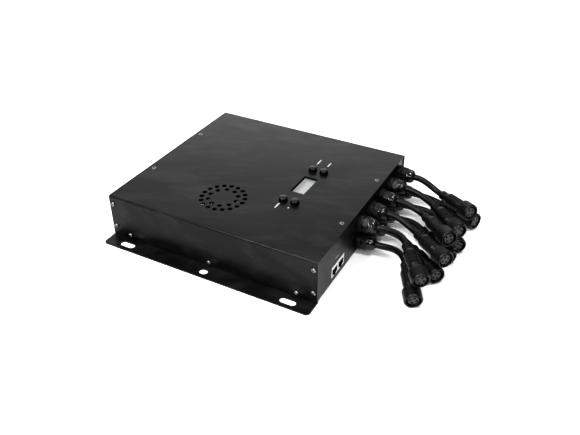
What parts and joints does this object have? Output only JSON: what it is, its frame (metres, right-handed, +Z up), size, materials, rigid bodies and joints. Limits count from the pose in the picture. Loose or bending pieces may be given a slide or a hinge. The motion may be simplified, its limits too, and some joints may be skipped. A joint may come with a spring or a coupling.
{
  "type": "led power supply",
  "caption": "Black sheet-steel power supply and controller box on slotted mounting feet, with a display, push buttons, a vent, network sockets and short output leads ending in coupling nuts.",
  "frame": {"origin": "the middle of the case's underside, between the two mounting feet", "axes": "+X along the long front side, towards the end with the output leads; +Y from the front to the back; +Z up, out of the top with the display"},
  "size_m": [0.3854, 0.293, 0.0604],
  "materials": {
    "black_powder_coat": "satin black powder coat on folded sheet steel",
    "black_nylon": "glossy moulded nylon",
    "black_cable": "matt black jacket",
    "black_moulding": "matt black moulding",
    "black_button": "satin black caps",
    "display_face": "pale unlit display face",
    "display_frame": "dark pressed metal",
    "circuit_board": "green solder mask",
    "socket_shield": "bright plated shield",
    "bare_steel": "bare sheet metal",
    "black_thermoplastic": "moulded black thermoplastic"
  },
  "bodies": {
    "case": {"top_cover": "black_powder_coat", "chassis_tray": "black_powder_coat", "front_bracket": "black_powder_coat", "rear_bracket": "black_powder_coat", "display_glass": "display_face", "display_module": "display_frame", "display_board": "circuit_board", "power_module": "bare_steel", "fan_frame": "black_thermoplastic", "output_board": "circuit_board", "network_board": "circuit_board", "network_sockets": "socket_shield", "mains_inlet": "black_thermoplastic", "gland_upper_1": "black_nylon", "cable_upper_1": "black_cable", "plug_upper_1": "black_moulding", "gland_upper_2": "black_nylon", "cable_upper_2": "black_cable", "plug_upper_2": "black_moulding", "gland_upper_3": "black_nylon", "cable_upper_3": "black_cable", "plug_upper_3": "black_moulding", "gland_upper_4": "black_nylon", "cable_upper_4": "black_cable", "plug_upper_4": "black_moulding", "gland_upper_5": "black_nylon", "cable_upper_5": "black_cable", "plug_upper_5": "black_moulding", "gland_lower_1": "black_nylon", "cable_lower_1": "black_cable", "plug_lower_1": "black_moulding", "gland_lower_2": "black_nylon", "cable_lower_2": "black_cable", "plug_lower_2": "black_moulding", "gland_lower_3": "black_nylon", "cable_lower_3": "black_cable", "plug_lower_3": "black_moulding", "gland_lower_4": "black_nylon", "cable_lower_4": "black_cable", "plug_lower_4": "black_moulding", "gland_lower_5": "black_nylon", "cable_lower_5": "black_cable", "plug_lower_5": "black_moulding"},
    "button_1": {"button_1": "black_button"},
    "button_2": {"button_2": "black_button"},
    "button_3": {"button_3": "black_button"},
    "button_4": {"button_4": "black_button"},
    "fan_rotor": {"fan_rotor": "black_thermoplastic"},
    "fuse_drawer": {"fuse_drawer": "black_thermoplastic"},
    "coupling_nut_upper_1": {"coupling_nut_upper_1": "black_moulding"},
    "coupling_nut_upper_2": {"coupling_nut_upper_2": "black_moulding"},
    "coupling_nut_upper_3": {"coupling_nut_upper_3": "black_moulding"},
    "coupling_nut_upper_4": {"coupling_nut_upper_4": "black_moulding"},
    "coupling_nut_upper_5": {"coupling_nut_upper_5": "black_moulding"},
    "coupling_nut_lower_1": {"coupling_nut_lower_1": "black_moulding"},
    "coupling_nut_lower_2": {"coupling_nut_lower_2": "black_moulding"},
    "coupling_nut_lower_3": {"coupling_nut_lower_3": "black_moulding"},
    "coupling_nut_lower_4": {"coupling_nut_lower_4": "black_moulding"},
    "coupling_nut_lower_5": {"coupling_nut_lower_5": "black_moulding"}
  },
  "joints": [
    {"name": "button_1_press", "type": "slide", "parent": "case", "child": "button_1", "axis": [0, 0, -1], "range_m": [0, 0.001], "stiffness_N_per_m": 800, "springref_m": -0.0004},
    {"name": "button_2_press", "type": "slide", "parent": "case", "child": "button_2", "axis": [0, 0, -1], "range_m": [0, 0.001], "stiffness_N_per_m": 800, "springref_m": -0.0004},
    {"name": "button_3_press", "type": "slide", "parent": "case", "child": "button_3", "axis": [0, 0, -1], "range_m": [0, 0.001], "stiffness_N_per_m": 800, "springref_m": -0.0004},
    {"name": "button_4_press", "type": "slide", "parent": "case", "child": "button_4", "axis": [0, 0, -1], "range_m": [0, 0.001], "stiffness_N_per_m": 800, "springref_m": -0.0004},
    {"name": "fan_spin", "type": "hinge", "parent": "case", "child": "fan_rotor", "pos_m": [-0.0151, -0.0674, 0.0436], "axis": [0, 0, 1], "continuous": true},
    {"name": "fuse_drawer_slide", "type": "slide", "parent": "case", "child": "fuse_drawer", "axis": [-1, 0, 0], "range_m": [0, 0.015]},
    {"name": "coupling_nut_upper_1_spin", "type": "hinge", "parent": "case", "child": "coupling_nut_upper_1", "pos_m": [0.21944, -0.06525, 0.03434], "axis": [0.596, -0.7909, -0.1392], "continuous": true},
    {"name": "coupling_nut_upper_2_spin", "type": "hinge", "parent": "case", "child": "coupling_nut_upper_2", "pos_m": [0.22795, -0.0209, 0.031], "axis": [0.8039, -0.5948, 0], "continuous": true},
    {"name": "coupling_nut_upper_3_spin", "type": "hinge", "parent": "case", "child": "coupling_nut_upper_3", "pos_m": [0.22255, 0.01084, 0.03585], "axis": [0.7286, -0.6794, 0.0872], "continuous": true},
    {"name": "coupling_nut_upper_4_spin", "type": "hinge", "parent": "case", "child": "coupling_nut_upper_4", "pos_m": [0.22646, 0.03598, 0.03232], "axis": [0.7653, -0.6422, -0.0436], "continuous": true},
    {"name": "coupling_nut_upper_5_spin", "type": "hinge", "parent": "case", "child": "coupling_nut_upper_5", "pos_m": [0.22661, 0.07928, 0.03036], "axis": [0.821, -0.5643, 0.0872], "continuous": true},
    {"name": "coupling_nut_lower_1_spin", "type": "hinge", "parent": "case", "child": "coupling_nut_lower_1", "pos_m": [0.21806, -0.07232, 0.01244], "axis": [0.4951, -0.8576, -0.1392], "continuous": true},
    {"name": "coupling_nut_lower_2_spin", "type": "hinge", "parent": "case", "child": "coupling_nut_lower_2", "pos_m": [0.22281, -0.02516, 0.0106], "axis": [0.7431, -0.6691, 0], "continuous": true},
    {"name": "coupling_nut_lower_3_spin", "type": "hinge", "parent": "case", "child": "coupling_nut_lower_3", "pos_m": [0.22477, 0.01026, 0.01218], "axis": [0.8097, -0.5775, -0.1045], "continuous": true},
    {"name": "coupling_nut_lower_4_spin", "type": "hinge", "parent": "case", "child": "coupling_nut_lower_4", "pos_m": [0.22891, 0.03854, 0.01158], "axis": [0.6937, -0.7184, -0.0523], "continuous": true},
    {"name": "coupling_nut_lower_5_spin", "type": "hinge", "parent": "case", "child": "coupling_nut_lower_5", "pos_m": [0.22962, 0.09239, 0.0106], "axis": [0.9304, -0.3665, 0], "continuous": true}
  ]
}
